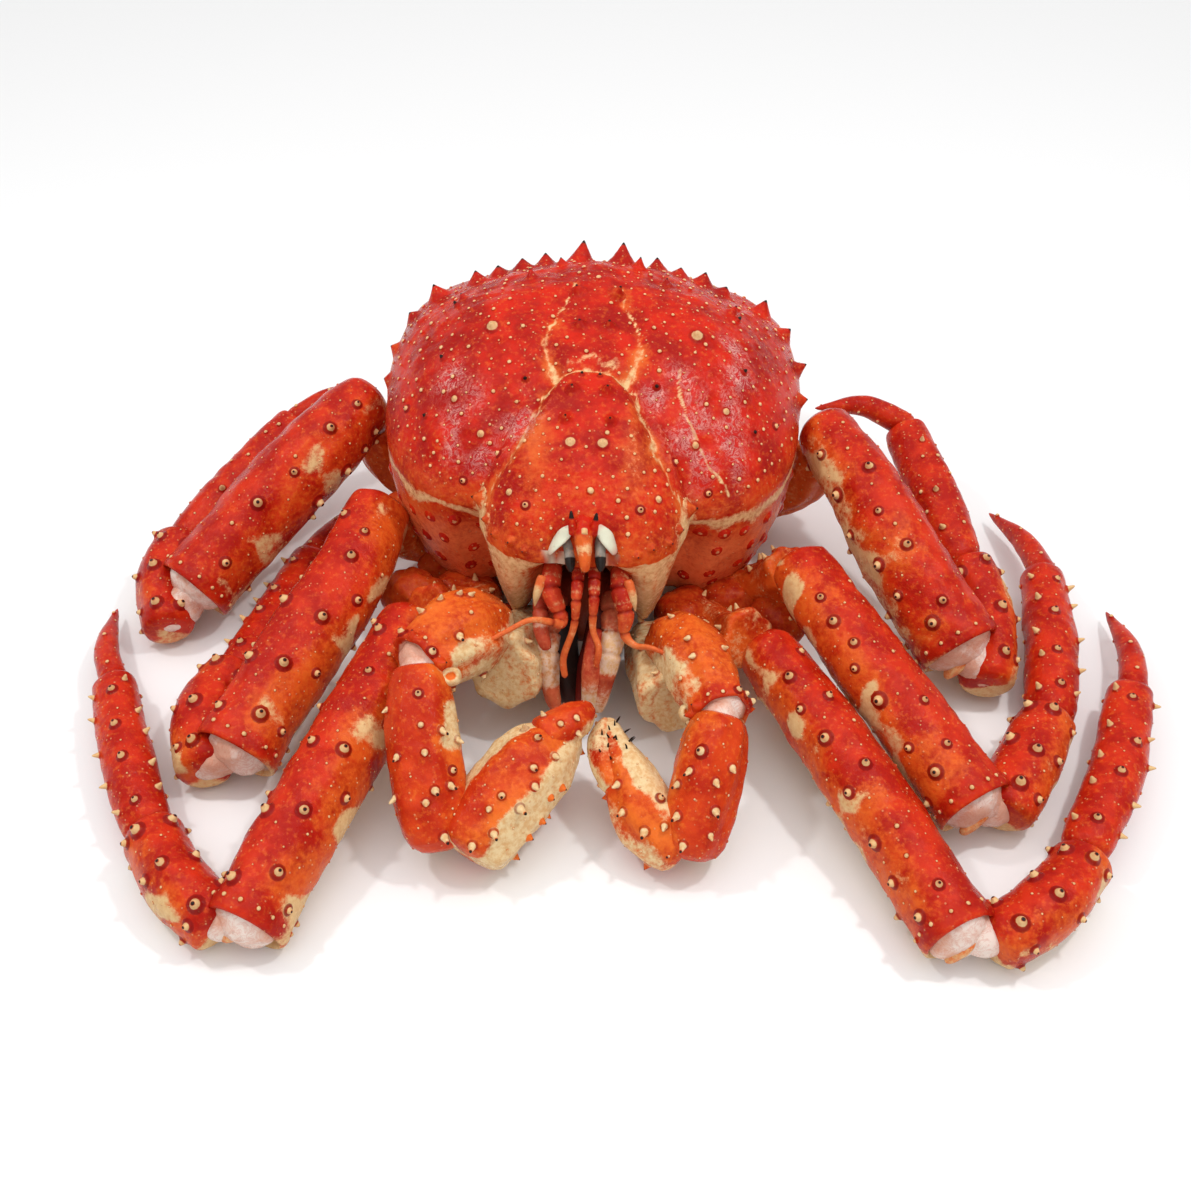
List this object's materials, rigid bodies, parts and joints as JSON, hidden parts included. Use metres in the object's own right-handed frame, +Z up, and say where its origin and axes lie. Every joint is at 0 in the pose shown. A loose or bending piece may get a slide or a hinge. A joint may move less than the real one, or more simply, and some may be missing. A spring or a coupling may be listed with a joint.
{
  "type": "whole king crab",
  "caption": "Whole cooked king crab lying on its folded abdomen: spiny domed shell, folded walking legs, two bent claws, eyes, feelers and mouthparts.",
  "frame": {"origin": "on the floor under the middle of the crab's bounding box", "axes": "+Z up, -Y the way the crab faces, +X to the viewer's right when it is seen from the front (the crab's left side)"},
  "size_m": [0.4795, 0.341, 0.1405],
  "materials": {
    "shell": "wet glossy cooked shell, deep red with cream tubercles",
    "leg_shell": "glossy red-orange shell, cream underneath, cream spines with black tips",
    "claw_shell": "glossy orange shell, cream inner faces",
    "underside": "satin cream and orange",
    "eye": "glossy dark cornea on a grey stalk",
    "feeler": "glossy orange-red",
    "mouthpart": "satin pinkish cream with orange-red tips"
  },
  "bodies": {
    "root": {"carapace": "shell", "thorax": "underside", "abdomen": "underside", "right_leg_a_ischium": "leg_shell", "right_leg_a_merus": "leg_shell", "right_leg_a_carpus": "leg_shell", "right_leg_a_propodus": "leg_shell", "right_leg_a_dactyl": "leg_shell", "right_leg_b_ischium": "leg_shell", "right_leg_b_merus": "leg_shell", "right_leg_b_carpus": "leg_shell", "right_leg_b_propodus": "leg_shell", "right_leg_b_dactyl": "leg_shell", "right_leg_c_ischium": "leg_shell", "right_leg_c_merus": "leg_shell", "right_leg_c_carpus": "leg_shell", "right_leg_c_propodus": "leg_shell", "right_leg_c_dactyl": "leg_shell", "right_claw_ischium": "claw_shell", "right_claw_merus": "claw_shell", "right_claw_carpus": "claw_shell", "right_claw_palm": "claw_shell", "right_claw_finger": "claw_shell", "eye_right": "eye", "antenna_right": "feeler", "antennule_right": "feeler", "maxilliped_right": "mouthpart", "left_leg_a_ischium": "leg_shell", "left_leg_a_merus": "leg_shell", "left_leg_a_carpus": "leg_shell", "left_leg_a_propodus": "leg_shell", "left_leg_a_dactyl": "leg_shell", "left_leg_b_ischium": "leg_shell", "left_leg_b_merus": "leg_shell", "left_leg_b_carpus": "leg_shell", "left_leg_b_propodus": "leg_shell", "left_leg_b_dactyl": "leg_shell", "left_leg_c_ischium": "leg_shell", "left_leg_c_merus": "leg_shell", "left_leg_c_carpus": "leg_shell", "left_leg_c_propodus": "leg_shell", "left_leg_c_dactyl": "leg_shell", "left_claw_ischium": "claw_shell", "left_claw_merus": "claw_shell", "left_claw_carpus": "claw_shell", "left_claw_palm": "claw_shell", "left_claw_finger": "claw_shell", "eye_left": "eye", "antenna_left": "feeler", "antennule_left": "feeler", "maxilliped_left": "mouthpart"}
  },
  "joints": []
}
